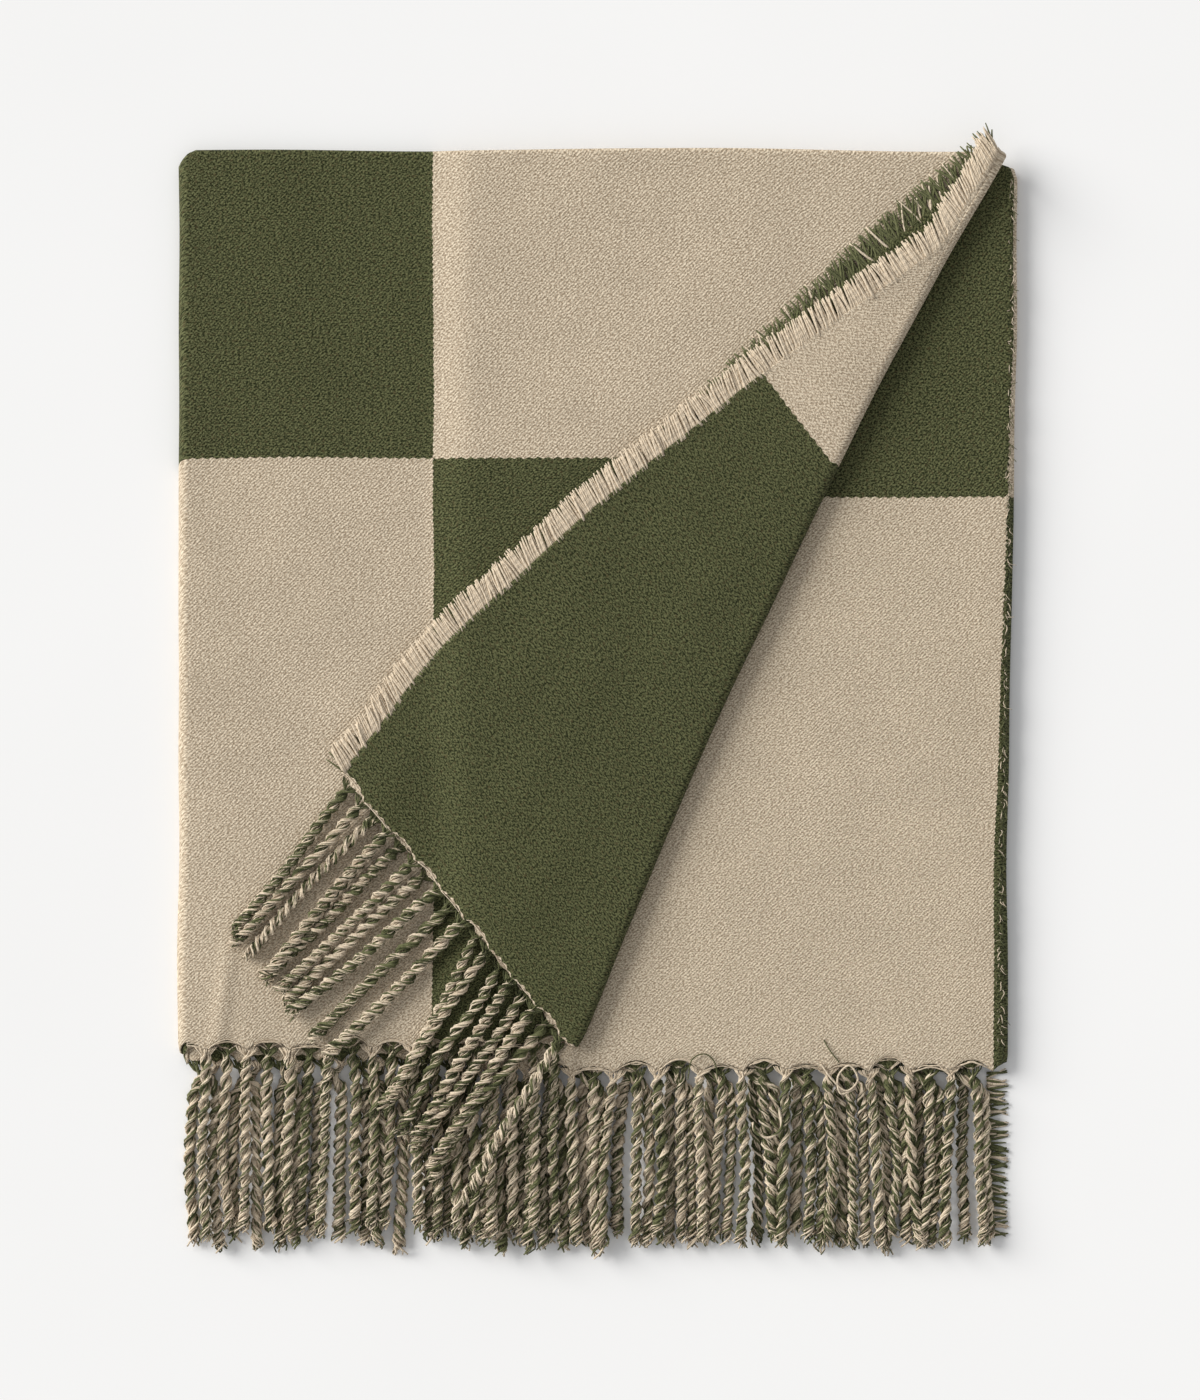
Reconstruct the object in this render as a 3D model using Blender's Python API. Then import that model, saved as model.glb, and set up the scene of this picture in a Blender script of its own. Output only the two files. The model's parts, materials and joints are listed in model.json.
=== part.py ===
"""A folded throw blanket with a turned-back corner, metres, +Z up.

The cloth is a fringed rectangle. It is folded in half end to end, so every
panel is two leaves joined by a fold along the top edge. The doubled cloth is
then folded in three: the back panel lies on the table, the inner panel comes
over it from the right, and the front panel comes over both from the left.
The lower right corner of the front panel is turned back along a slanting
crease, which leaves its fringe lying across the front.

Origin: the middle of the underside. +Y points to the folded top edge, +X to
the right. Leaves are counted from the table up, one PITCH apart.
"""

import math

import bmesh
import bpy
from mathutils import Matrix, Vector

# Driving dimensions
CLOTH_WIDTH = 1.524       # woven edge to woven edge, four colour blocks
CLOTH_LENGTH = 1.270      # fringe to fringe
FRONT_MARGIN = 0.037      # front panel's woven edge to the right side, half way up
LEAF = 0.0026             # thickness of the brushed cloth
LEAF_GAP = 0.0004         # air between two leaves that lie on each other
FIT = 0.0003              # gap between pieces that meet edge to edge
TAKE_UP = 0.003           # cloth lost in rolling over the end-to-end fold
FRONT_SLIP = 0.010        # how far the front panel sits above the back one
FRONT_SKEW = 0.020        # how far the front panel is pulled round
FOOT_OVERLAP = 0.073      # inner panel's woven edge to the foot of the slanting crease
RAMP_RUN = 0.020          # length over which the front steps down

TASSEL_LENGTH = 0.135
TASSEL_WIDTH = 0.009
TASSEL_PITCH = 0.029      # along one leaf; the other leaf's tassels lie between
CORNER_TASSELS = 9        # on each leaf of the turned corner
CORNER_TASSEL_LEAN = math.radians(5.0)
FRINGE_HEAD = 0.005       # twisted heading that joins the tassels of a row
FRINGE_SIDE_MARGIN = 0.006
CREASE_FRINGE_MARGIN = 0.0035
EYELASH = 0.014           # length of the cut weft ends along a woven edge
EYELASH_THICKNESS = 0.0012
TRIM_WIDTH = 0.014        # strip of woven edge that shows beside the fringe
TRIM_INSET = 0.003
TRIM_LENGTH = 0.118

ARC_STEPS = 8             # facets round a fold
TIP_STEPS = 4             # facets round a tassel's end
NARROWEST_FLAP = 0.004    # the turned corner is cut off where it gets thinner
LOWER_FIRST = 0.75        # place of a lower leaf's first tassel, in pitches
UPPER_FIRST = 0.25

# Sizes that follow
PITCH = LEAF + LEAF_GAP
PAIR_RADIUS = LEAF + LEAF_GAP / 2
SIDE_RADIUS = 2 * LEAF + 1.5 * LEAF_GAP
INNER_WIDTH = CLOTH_WIDTH / 4     # the inner panel is one colour block
PACK_WIDTH = (CLOTH_WIDTH - INNER_WIDTH + FRONT_MARGIN) / 2
FRONT_WIDTH = PACK_WIDTH - FRONT_MARGIN
LEAF_RUN = CLOTH_LENGTH / 2 - TAKE_UP
TOTAL_LENGTH = LEAF_RUN + FRONT_SLIP + TASSEL_LENGTH

LEFT_X = -PACK_WIDTH / 2
RIGHT_X = PACK_WIDTH / 2
LEFT_AXIS_X = LEFT_X + SIDE_RADIUS
RIGHT_AXIS_X = RIGHT_X - SIDE_RADIUS
INNER_EDGE_X = RIGHT_X - INNER_WIDTH
FRONT_TOP_Y = TOTAL_LENGTH / 2
FRONT_BOTTOM_Y = FRONT_TOP_Y - LEAF_RUN
BACK_TOP_Y = FRONT_TOP_Y - FRONT_SLIP
BACK_BOTTOM_Y = BACK_TOP_Y - LEAF_RUN
RAMP_HIGH_X = INNER_EDGE_X - EYELASH - 4 * FIT
RAMP_LOW_X = RAMP_HIGH_X - RAMP_RUN
FRINGE_RIGHT_X = RIGHT_X - TRIM_INSET - TRIM_WIDTH - FIT

# The slanting crease, from its foot on the fringe edge to the top corner
CREASE_FOOT = Vector((INNER_EDGE_X + FOOT_OVERLAP, FRONT_BOTTOM_Y))
CREASE_TIP = Vector((LEFT_X + FRONT_WIDTH + FRONT_SKEW, FRONT_TOP_Y))
CREASE_LENGTH = (CREASE_TIP - CREASE_FOOT).length
CREASE_ALONG = (CREASE_TIP - CREASE_FOOT).normalized()
CREASE_LEFT = Vector((-CREASE_ALONG.y, CREASE_ALONG.x))
OPEN_CORNER = Vector((LEFT_X + FRONT_WIDTH - FRONT_SKEW, FRONT_BOTTOM_Y))

GREEN = (0.070, 0.078, 0.030)
BEIGE = (0.480, 0.370, 0.250)
MIXED = (0.270, 0.235, 0.140)


def leaf_z(level):
    """Underside of the leaf with this many leaves below it."""
    return level * PITCH


def front_drop(x):
    """How far the front panel sinks where the inner panel isn't under it."""
    share = (x - RAMP_LOW_X) / (RAMP_HIGH_X - RAMP_LOW_X)
    return -2 * PITCH * (1 - min(max(share, 0.0), 1.0))


def no_drop(x):
    return 0.0


def paint(obj, colour):
    """Gives the object its own plain matt material."""
    material = bpy.data.materials.new(obj.name)
    material.use_nodes = True
    shader = material.node_tree.nodes["Principled BSDF"]
    shader.inputs["Base Color"].default_value = (*colour, 1.0)
    shader.inputs["Roughness"].default_value = 0.9
    shader.inputs["Metallic"].default_value = 0.0
    obj.data.materials.append(material)


def finish_object(name, bm, colour, pivot=None):
    """Makes an object of the mesh, with its origin on its pivot."""
    bmesh.ops.recalc_face_normals(bm, faces=bm.faces)
    mesh = bpy.data.meshes.new(name)
    bm.to_mesh(mesh)
    bm.free()
    obj = bpy.data.objects.new(name, mesh)
    if pivot is not None:
        mesh.transform(Matrix.Translation(-pivot))
        obj.location = pivot
    bpy.context.scene.collection.objects.link(obj)
    paint(obj, colour)
    return obj


def cut_at_ramp(bm):
    """Adds edges where the front panel's slope begins and ends."""
    for x in (RAMP_LOW_X, RAMP_HIGH_X):
        geometry = bm.verts[:] + bm.edges[:] + bm.faces[:]
        bmesh.ops.bisect_plane(bm, geom=geometry, dist=1e-6,
                               plane_co=(x, 0, 0), plane_no=(1, 0, 0))


def plate(name, faces, low_z, thickness, colour, drop=no_drop, pivot=None):
    """A flat piece made of these faces, bent down where the drop says."""
    bm = bmesh.new()
    for face in faces:
        bm.faces.new([bm.verts.new((x, y, 0.0)) for x, y in face])
    bmesh.ops.remove_doubles(bm, verts=bm.verts, dist=1e-6)
    if drop is front_drop:
        cut_at_ramp(bm)
    raised = bmesh.ops.extrude_face_region(bm, geom=bm.faces[:])["geom"]
    tops = {item for item in raised if isinstance(item, bmesh.types.BMVert)}
    for vert in bm.verts:
        height = thickness if vert in tops else 0.0
        vert.co.z = low_z + height + drop(vert.co.x)
    return finish_object(name, bm, colour, pivot)


def roll(name, stations, outward, radii, colour, slip=0.0, pivot=None):
    """A half-round fold of cloth along a line of centres.

    The cloth bulges outward from the centres. The upper leaf may sit further
    along the line than the lower one, by slip.
    """
    along = (stations[-1] - stations[0]).normalized()
    turns = [math.pi * (i / ARC_STEPS - 0.5) for i in range(ARC_STEPS + 1)]
    section = [(radii[1], turn) for turn in turns]
    section += [(radii[0], turn) for turn in reversed(turns)]
    bm = bmesh.new()
    rings = []
    for centre in stations:
        ring = []
        for radius, turn in section:
            side = outward * (radius * math.cos(turn))
            lift = Vector((0, 0, radius * math.sin(turn)))
            shift = along * (slip * (1 + math.sin(turn)) / 2)
            ring.append(bm.verts.new(centre + side + lift + shift))
        rings.append(ring)
    count = len(section)
    for lower, upper in zip(rings, rings[1:]):
        for i in range(count):
            k = (i + 1) % count
            bm.faces.new((lower[i], lower[k], upper[k], upper[i]))
    for ring in (rings[0], rings[-1]):
        for i in range(ARC_STEPS):
            bm.faces.new((ring[i], ring[i + 1],
                          ring[count - 2 - i], ring[count - 1 - i]))
    return finish_object(name, bm, colour, pivot)


def comb_faces(start, end, tassel, count, first):
    """Faces of a fringe: a narrow heading with a row of straight tassels.

    The heading runs from start to end, and tassel is the vector from the
    heading's inner edge to a tassel's tip. The first of the tassels stands
    that share of a pitch along the heading.
    """
    along = (end - start).normalized()
    run = (end - start).length
    pitch = run / count
    head = tassel.normalized() * FRINGE_HEAD
    places = [0.0]
    for i in range(count):
        middle = pitch * (i + first)
        places += [middle - TASSEL_WIDTH / 2, middle + TASSEL_WIDTH / 2]
    places.append(run)
    faces = []
    for i, (near, far) in enumerate(zip(places, places[1:])):
        left = start + along * near
        right = start + along * far
        faces.append([left, right, right + head, left + head])
        if i % 2 == 1:
            faces.append([left + head, right + head,
                          right + tassel, left + tassel])
    return faces


def tassel_outline(root, along, direction, length):
    """Outline of one tassel with a rounded tip."""
    half = TASSEL_WIDTH / 2
    across = Vector((-direction.y, direction.x))
    if across.dot(along) < 0:
        across = -across
    middle = root + direction * (length - half)
    points = [root - along * half, root + along * half]
    for i in range(TIP_STEPS + 1):
        turn = math.pi * i / TIP_STEPS
        points.append(middle + across * (half * math.cos(turn))
                      + direction * (half * math.sin(turn)))
    return points


def flap_point(along, aside):
    """A point on the turned corner, along the crease and to its left."""
    return CREASE_FOOT + CREASE_ALONG * along + CREASE_LEFT * aside


def mirrored(point):
    """The place that a point of the open corner takes when turned back."""
    offset = point - CREASE_FOOT
    return flap_point(offset.dot(CREASE_ALONG), -offset.dot(CREASE_LEFT))


def crease_x(y):
    share = (y - CREASE_FOOT.y) / (CREASE_TIP.y - CREASE_FOOT.y)
    return CREASE_FOOT.x + share * (CREASE_TIP.x - CREASE_FOOT.x)


def rectangle(left, right, bottom, top):
    return [Vector((left, bottom)), Vector((right, bottom)),
            Vector((right, top)), Vector((left, top))]


def build_back_and_inner_leaves():
    top = BACK_TOP_Y - PAIR_RADIUS - FIT
    back = rectangle(LEFT_AXIS_X + FIT, RIGHT_AXIS_X - FIT, BACK_BOTTOM_Y, top)
    inner = rectangle(INNER_EDGE_X, RIGHT_AXIS_X - FIT, BACK_BOTTOM_Y, top)
    plate("back_outer_leaf", [back], leaf_z(0), LEAF, GREEN)
    plate("back_inner_leaf", [back], leaf_z(1), LEAF, GREEN)
    plate("inner_lower_leaf", [inner], leaf_z(2), LEAF, BEIGE)
    plate("inner_upper_leaf", [inner], leaf_z(3), LEAF, BEIGE)


def build_front_leaves():
    left = LEFT_AXIS_X + FIT
    top = FRONT_TOP_Y - PAIR_RADIUS - FIT
    outline = [Vector((left, FRONT_BOTTOM_Y)),
               Vector((crease_x(FRONT_BOTTOM_Y) - FIT, FRONT_BOTTOM_Y)),
               Vector((crease_x(top) - FIT, top)),
               Vector((left, top))]
    plate("front_lower_leaf", [outline], leaf_z(4), LEAF, BEIGE,
          front_drop, LEFT_PIVOT)
    plate("front_upper_leaf", [outline], leaf_z(5), LEAF, BEIGE,
          front_drop, LEFT_PIVOT)


def build_corner_leaves():
    fringe_end = mirrored(OPEN_CORNER)
    widest = (fringe_end - CREASE_FOOT).dot(CREASE_LEFT)
    share = 1 - NARROWEST_FLAP / widest
    outline = [flap_point(0.0, FIT),
               fringe_end,
               fringe_end.lerp(CREASE_TIP, share),
               flap_point(CREASE_LENGTH * share, FIT)]
    plate("corner_lower_leaf", [outline], leaf_z(6), LEAF, GREEN,
          front_drop, CREASE_PIVOT)
    plate("corner_upper_leaf", [outline], leaf_z(7), LEAF, GREEN,
          front_drop, CREASE_PIVOT)


def build_side_folds():
    inner_radii = (LEAF_GAP / 2, PAIR_RADIUS)
    outer_radii = (PAIR_RADIUS + LEAF_GAP, SIDE_RADIUS)
    bottom = Vector((0, BACK_BOTTOM_Y, SIDE_RADIUS))
    top = Vector((0, BACK_TOP_Y - PAIR_RADIUS, SIDE_RADIUS))
    left = Vector((LEFT_AXIS_X, 0, 0))
    right = Vector((RIGHT_AXIS_X, 0, 0))
    for layer, radii in (("inner", inner_radii), ("outer", outer_radii)):
        roll("left_fold_" + layer, [bottom + left, top + left],
             Vector((-1, 0, 0)), radii, GREEN, slip=FRONT_SLIP)
        roll("right_fold_" + layer, [bottom + right, top + right],
             Vector((1, 0, 0)), radii, BEIGE)


def build_top_folds():
    radii = (LEAF_GAP / 2, PAIR_RADIUS)
    outward = Vector((0, 1, 0))
    centre_y = BACK_TOP_Y - PAIR_RADIUS
    for name, start_x, level in (("back_top_fold", LEFT_AXIS_X + FIT, 0),
                                 ("inner_top_fold", INNER_EDGE_X, 2)):
        centre_z = leaf_z(level) + PAIR_RADIUS
        line = [Vector((start_x, centre_y, centre_z)),
                Vector((RIGHT_AXIS_X - FIT, centre_y, centre_z))]
        roll(name, line, outward, radii, BEIGE)
    centre_y = FRONT_TOP_Y - PAIR_RADIUS
    end_x = crease_x(centre_y) - 2 * FIT
    line = [Vector((x, centre_y, leaf_z(4) + PAIR_RADIUS + front_drop(x)))
            for x in (LEFT_AXIS_X + FIT, RAMP_LOW_X, RAMP_HIGH_X, end_x)]
    roll("front_top_fold", line, outward, radii, BEIGE, pivot=LEFT_PIVOT)


def build_crease_folds():
    outward = Vector((-CREASE_LEFT.x, -CREASE_LEFT.y, 0))
    share = 1 - 2 * SIDE_RADIUS / CREASE_LENGTH
    line = [Vector((*flap_point(CREASE_LENGTH * t, 0.0), CREASE_PIVOT.z))
            for t in (0.0, share)]
    radii = (LEAF_GAP / 2, PAIR_RADIUS)
    roll("crease_fold_inner", line, outward, radii, GREEN, pivot=CREASE_PIVOT)
    radii = (PAIR_RADIUS + LEAF_GAP, SIDE_RADIUS)
    roll("crease_fold_outer", line, outward, radii, BEIGE, pivot=CREASE_PIVOT)


def straight_fringe(name, left, right, edge_y, level, drop=no_drop, pivot=None):
    """A leaf's fringe; its tassels lie between those of the leaf it is paired with."""
    start = Vector((left, edge_y - FIT))
    end = Vector((right, edge_y - FIT))
    tassel = Vector((0, -(TASSEL_LENGTH - FIT)))
    count = max(int((right - left) / TASSEL_PITCH), 1)
    first = LOWER_FIRST if level % 2 == 0 else UPPER_FIRST
    faces = comb_faces(start, end, tassel, count, first)
    plate(name, faces, leaf_z(level), LEAF, MIXED, drop, pivot)


def build_straight_fringes():
    left = LEFT_AXIS_X + FRINGE_SIDE_MARGIN
    inner_left = INNER_EDGE_X + FIT
    front_right = CREASE_FOOT.x - FRINGE_SIDE_MARGIN
    rows = (("back_outer_fringe", left, 0), ("back_inner_fringe", left, 1),
            ("inner_lower_fringe", inner_left, 2),
            ("inner_upper_fringe", inner_left, 3))
    for name, start, level in rows:
        straight_fringe(name, start, FRINGE_RIGHT_X, BACK_BOTTOM_Y, level)
    for name, level in (("front_lower_fringe", 4), ("front_upper_fringe", 5)):
        straight_fringe(name, left, front_right, FRONT_BOTTOM_Y, level,
                        front_drop, LEFT_PIVOT)


def build_corner_fringe():
    """The lower leaf's tassels as one row, the upper leaf's one by one."""
    fringe_end = mirrored(OPEN_CORNER)
    along = (fringe_end - CREASE_FOOT).normalized()
    outward = Vector((along.y, -along.x))
    if outward.y > 0:
        outward = -outward
    start = CREASE_FOOT + along * CREASE_FRINGE_MARGIN + outward * FIT
    end = fringe_end + outward * FIT
    tassel = outward * (TASSEL_LENGTH - FIT)
    faces = comb_faces(start, end, tassel, CORNER_TASSELS, LOWER_FIRST)
    plate("corner_lower_fringe", faces, leaf_z(6), LEAF, MIXED,
          front_drop, CREASE_PIVOT)

    pitch = (end - start).length / CORNER_TASSELS
    lean = Matrix.Rotation(CORNER_TASSEL_LEAN, 2)
    direction = lean @ outward
    for i in range(CORNER_TASSELS):
        root = start + along * (pitch * (i + UPPER_FIRST))
        length = TASSEL_LENGTH * (1 + 0.03 * math.sin(2.4 * i))
        outline = tassel_outline(root, along, direction, length)
        plate("corner_tassel_%02d" % (i + 1), [outline], leaf_z(7), LEAF, MIXED,
              front_drop, CREASE_PIVOT)


def eyelash_strip(name, start, end, outward, level, drop=no_drop, pivot=None):
    """The row of cut weft ends along a woven edge, as one thin strip."""
    near = outward * FIT
    far = outward * (FIT + EYELASH)
    outline = [start + near, end + near, end + far, start + far]
    low_z = leaf_z(level) + (LEAF - EYELASH_THICKNESS) / 2
    plate(name, [outline], low_z, EYELASH_THICKNESS, BEIGE, drop, pivot)


def build_eyelashes():
    bottom = Vector((INNER_EDGE_X, BACK_BOTTOM_Y))
    top = Vector((INNER_EDGE_X, BACK_TOP_Y - 2 * PAIR_RADIUS))
    for name, level in (("inner_lower_eyelash", 2), ("inner_upper_eyelash", 3)):
        eyelash_strip(name, bottom, top, Vector((-1, 0)), level)

    start = mirrored(OPEN_CORNER)
    run = (CREASE_TIP - start).length
    end = start.lerp(CREASE_TIP, 1 - 1.3 * EYELASH / run)
    along = (end - start).normalized()
    outward = Vector((-along.y, along.x))
    for name, level in (("corner_lower_eyelash", 6), ("corner_upper_eyelash", 7)):
        eyelash_strip(name, start, end, outward, level, front_drop,
                      CREASE_PIVOT)


def build_edge_trim():
    """A short length of woven edge that lies beside the lower right fringe."""
    right = RIGHT_X - TRIM_INSET
    top = BACK_BOTTOM_Y - 2 * FRINGE_HEAD
    outline = rectangle(right - TRIM_WIDTH, right, top - TRIM_LENGTH, top)
    plate("lower_right_woven_edge", [outline], leaf_z(0), LEAF, GREEN)


LEFT_PIVOT = Vector((LEFT_AXIS_X, 0, SIDE_RADIUS))
CREASE_PIVOT = Vector((*CREASE_FOOT, leaf_z(6) - LEAF_GAP / 2))


def main():
    for obj in list(bpy.data.objects):
        bpy.data.objects.remove(obj)
    build_back_and_inner_leaves()
    build_front_leaves()
    build_corner_leaves()
    build_side_folds()
    build_top_folds()
    build_crease_folds()
    build_straight_fringes()
    build_corner_fringe()
    build_eyelashes()
    build_edge_trim()


main()
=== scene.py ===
"""Looks of the folded throw blanket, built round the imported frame.

The cloth is a double-faced weave of large green and beige blocks. Each panel
is laid out on its flat weave coordinates, folded leaf over leaf by formula,
and given its thickness. The fringe is twisted from separate yarns.
"""

import json
import math

import bpy
import numpy as np
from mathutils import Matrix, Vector


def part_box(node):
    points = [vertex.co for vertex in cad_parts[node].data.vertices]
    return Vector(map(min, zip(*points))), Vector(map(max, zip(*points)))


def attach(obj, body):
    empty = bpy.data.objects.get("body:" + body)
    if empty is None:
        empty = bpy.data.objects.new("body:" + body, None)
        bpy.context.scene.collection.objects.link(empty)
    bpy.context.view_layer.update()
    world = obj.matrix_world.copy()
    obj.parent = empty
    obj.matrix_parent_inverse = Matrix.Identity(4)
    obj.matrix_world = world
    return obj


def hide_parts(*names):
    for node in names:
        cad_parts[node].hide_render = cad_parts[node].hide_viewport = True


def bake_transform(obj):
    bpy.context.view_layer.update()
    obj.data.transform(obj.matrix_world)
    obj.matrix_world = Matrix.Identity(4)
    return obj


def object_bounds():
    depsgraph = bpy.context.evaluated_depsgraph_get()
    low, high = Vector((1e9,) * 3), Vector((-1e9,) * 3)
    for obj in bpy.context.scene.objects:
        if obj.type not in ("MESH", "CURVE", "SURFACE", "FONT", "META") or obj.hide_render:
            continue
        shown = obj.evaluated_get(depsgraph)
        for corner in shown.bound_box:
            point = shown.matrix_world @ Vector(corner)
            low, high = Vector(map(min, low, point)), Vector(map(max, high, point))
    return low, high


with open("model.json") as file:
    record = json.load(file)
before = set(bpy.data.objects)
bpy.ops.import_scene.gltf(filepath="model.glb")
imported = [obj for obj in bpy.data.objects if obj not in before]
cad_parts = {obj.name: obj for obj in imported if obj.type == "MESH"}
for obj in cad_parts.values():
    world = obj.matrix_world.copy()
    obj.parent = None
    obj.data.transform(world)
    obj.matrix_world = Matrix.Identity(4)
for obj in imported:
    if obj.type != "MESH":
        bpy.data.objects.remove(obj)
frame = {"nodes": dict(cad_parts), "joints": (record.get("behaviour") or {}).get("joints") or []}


def plain(bounds):
    return [[float(value) for value in corner] for corner in bounds]


cad_box = plain(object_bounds())


def box(node):
    low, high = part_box(node)
    return np.array(low, float), np.array(high, float)


def joint(name):
    return next(j for j in frame["joints"] if j["name"] == name)


# Sizes read from the frame
LEAF = float(np.ptp(box("back_outer_leaf"), axis=0)[2])
PITCH = float(box("back_inner_leaf")[0][2] - box("back_outer_leaf")[0][2])
LEFT = box("left_fold_outer")[0][0]
RIGHT = box("right_fold_outer")[1][0]
SIDE_RADIUS = (box("left_fold_outer")[1][2] - box("left_fold_outer")[0][2]) / 2
LEFT_AXIS = LEFT + SIDE_RADIUS
RIGHT_AXIS = RIGHT - SIDE_RADIUS
INNER_EDGE = box("inner_upper_leaf")[0][0]
BACK_BOTTOM = box("back_outer_leaf")[0][1]
BACK_TOP = box("back_top_fold")[1][1]
FRONT_BOTTOM = box("front_upper_leaf")[0][1]
FRONT_TOP = box("front_top_fold")[1][1]
TASSEL = box("back_outer_fringe")[1][1] - box("back_outer_fringe")[0][1]
BLOCK = RIGHT - INNER_EDGE
LENGTH = 3 * BLOCK * 10 / 9
STACK_TOP = 2 * SIDE_RADIUS

# The slanting crease, and the directions that follow from it
crease = joint("corner_fold")
FOOT = np.array(crease["pos_m"][:2], float)
CREASE_Z = crease["pos_m"][2]
ALONG = np.array(crease["axis"][:2], float)
ASIDE = np.array([-ALONG[1], ALONG[0]])
DOWN = np.array([0.0, -1.0])
TURNED = 2 * (ALONG @ DOWN) * ALONG - DOWN
CREASE_RUN = (FRONT_TOP - FOOT[1]) / ALONG[1]
TIP_X = FOOT[0] + CREASE_RUN * ALONG[0]
OPEN_RUN = (box("corner_upper_leaf")[0][0] - FOOT[0]) / (ALONG[0] ** 2 - ALONG[1] ** 2)
OPEN_X = FOOT[0] + OPEN_RUN

# Where the front panel climbs from the back panel onto the inner one
STEP_START = INNER_EDGE - 0.036
STEP_END = INNER_EDGE - 0.002

# Where the colour blocks meet, measured from the nearest edge or fold
FRONT_BLOCK = 0.179
FRONT_ROW = 0.2175
CORNER_ROW = 0.226
INNER_ROW = 0.235
INNER_SLIP = 0.0055

# Cloth: points across each panel and along a leaf, its round corners and its unevenness
COLUMNS = {"back": 150, "inner": 104, "front": 97, "corner": 71}
LEAF_ROWS = 86
LEFT_ROUND = 0.011
RIGHT_ROUND = 0.010
BUMP_HEIGHT = 0.0007
FRONT_SHARE = 0.8

# Tassels: two plies laid round each other, each ply made of several yarns
TASSEL_PITCH = 0.029
TASSEL_STEPS = 46
PLY_OFFSET = 0.0021
YARN_OFFSET = 0.00155
YARN_BUNDLE = 0.0031
LAY_LENGTHS = (0.017, 0.023)
GATHERED_BY = 0.011
FRAYED_END = 0.012
ROOT_INSET = 0.0020
ROOT_SINK = 0.0003
FOOT_MARGIN = 0.0035
TIP_MARGIN = 0.0035

# How the rows of tassels lie on each other, and how the turned corner's fan out
ROW_HEIGHT = 0.0034
ROW_RISE = 0.0023
CORNER_LIFT = {0: 0.0049, -1: 0.0066}
CORNER_EXTRA = 0.0080
FAN_PLACES = [0, 0.38, 0.52, 0.75, 1]
FAN_TILTS = [0.30, 0.32, 0.00, 0.05, 0.19]

SEED = 20
corner_tassels = sorted(name for name in frame["nodes"] if name.startswith("corner_tassel_"))


def tassel_row(sheet, end):
    """Places of the tassels on one leaf: the first, their pitch and their number.

    The upper leaf's start a quarter pitch in, the lower one's three quarters, and
    the back panel's a quarter pitch before that. end is 0 or -1, as in the leaf's rows.
    """
    if sheet == "corner":
        low, high, count = FOOT[0] + FOOT_MARGIN, OPEN_X, len(corner_tassels)
    else:
        node = {"back": "back_outer", "inner": "inner_upper", "front": "front_upper"}[sheet]
        low, high = (corner[0] for corner in box(node + "_fringe"))
        count = int((high - low) / TASSEL_PITCH)
    upper_leaf = (sheet, end) in (("back", -1), ("inner", 0), ("front", 0), ("corner", -1))
    pitch = (high - low) / count
    aside = 0.25 if sheet == "back" else 0.0
    return low + pitch * ((0.25 if upper_leaf else 0.75) - aside), pitch, count


# ---------------------------------------------------------------- meshes

def quad_mesh(name, points, quads, values=None, uv=None, slots=None):
    """A smooth mesh of quads with point values and a weave map."""
    mesh = bpy.data.meshes.new(name)
    quads = np.asarray(quads, np.int32)
    mesh.vertices.add(len(points))
    mesh.vertices.foreach_set("co", np.asarray(points, np.float32).ravel())
    mesh.loops.add(quads.size)
    mesh.loops.foreach_set("vertex_index", quads.ravel())
    mesh.polygons.add(len(quads))
    mesh.polygons.foreach_set("loop_start", np.arange(0, quads.size, 4, dtype=np.int32))
    mesh.polygons.foreach_set("use_smooth", np.ones(len(quads), bool))
    if slots is not None:
        mesh.polygons.foreach_set("material_index", np.asarray(slots, np.int32))
    mesh.update(calc_edges=True)
    for key, value in (values or {}).items():
        layer = mesh.attributes.new(key, "FLOAT", "POINT")
        layer.data.foreach_set("value", np.asarray(value, np.float32))
    if uv is not None:
        layer = mesh.uv_layers.new(name="Weave")
        layer.uv.foreach_set("vector", np.asarray(uv, np.float32).ravel())
    obj = bpy.data.objects.new(name, mesh)
    bpy.context.scene.collection.objects.link(obj)
    return obj


def smooth_step(value, low, high):
    share = np.clip((value - low) / (high - low), 0, 1)
    return share * share * (3 - 2 * share)


def waves(x, y, seed, longest, count=7):
    """Smooth seeded unevenness of about unit height over x and y."""
    rng = np.random.default_rng(seed)
    total = np.zeros(np.broadcast(x, y).shape)
    for _ in range(count):
        size = longest * rng.uniform(0.35, 1.0)
        turn = rng.uniform(0, math.pi)
        phase = rng.uniform(0, 2 * math.pi)
        along = x * math.cos(turn) + y * math.sin(turn)
        total = total + np.sin(2 * math.pi * along / size + phase) * (size / longest)
    return total / math.sqrt(count)


# ------------------------------------------------------- shape of the cloth

def side_warp(x, y):
    """How far the whole stack leans off its straight outline, sideways."""
    share = np.clip(x / RIGHT, 0, 1) ** 2
    down = smooth_step(y, BACK_TOP, BACK_BOTTOM)
    shift = share * (0.0015 - 0.0085 * down)
    return shift + 0.0009 * waves(x * 0.3, y, 3, 0.24)


def end_warp(x, y):
    """How far the stack's ends wander from their straight outline."""
    return 0.0011 * waves(x, y * 0.3, 4, 0.30)


def bumps(x, y):
    """How far the top of the stack rises here and there."""
    return BUMP_HEIGHT * (1 + waves(x, y, 5, 0.16))


def lie(points, level_share):
    """Bends finished points by the unevenness that all the layers share."""
    x, y = points[..., 0].copy(), points[..., 1].copy()
    points[..., 0] += side_warp(x, y)
    points[..., 1] += end_warp(x, y)
    points[..., 2] += level_share * bumps(x, y)
    return points


def round_corner(points, corner_x, corner_y, radius):
    """Pulls a folded corner of the stack in, so that it turns round."""
    near_x = np.clip(1 - np.abs(points[..., 0] - corner_x) / radius, 0, 1)
    near_y = np.clip(1 - np.abs(points[..., 1] - corner_y) / radius, 0, 1)
    pull = 0.30 * radius * (near_x * near_y) ** 0.8
    points[..., 0] += pull * np.sign(-corner_x)
    points[..., 1] += pull * np.sign(-corner_y)
    return points


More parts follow.
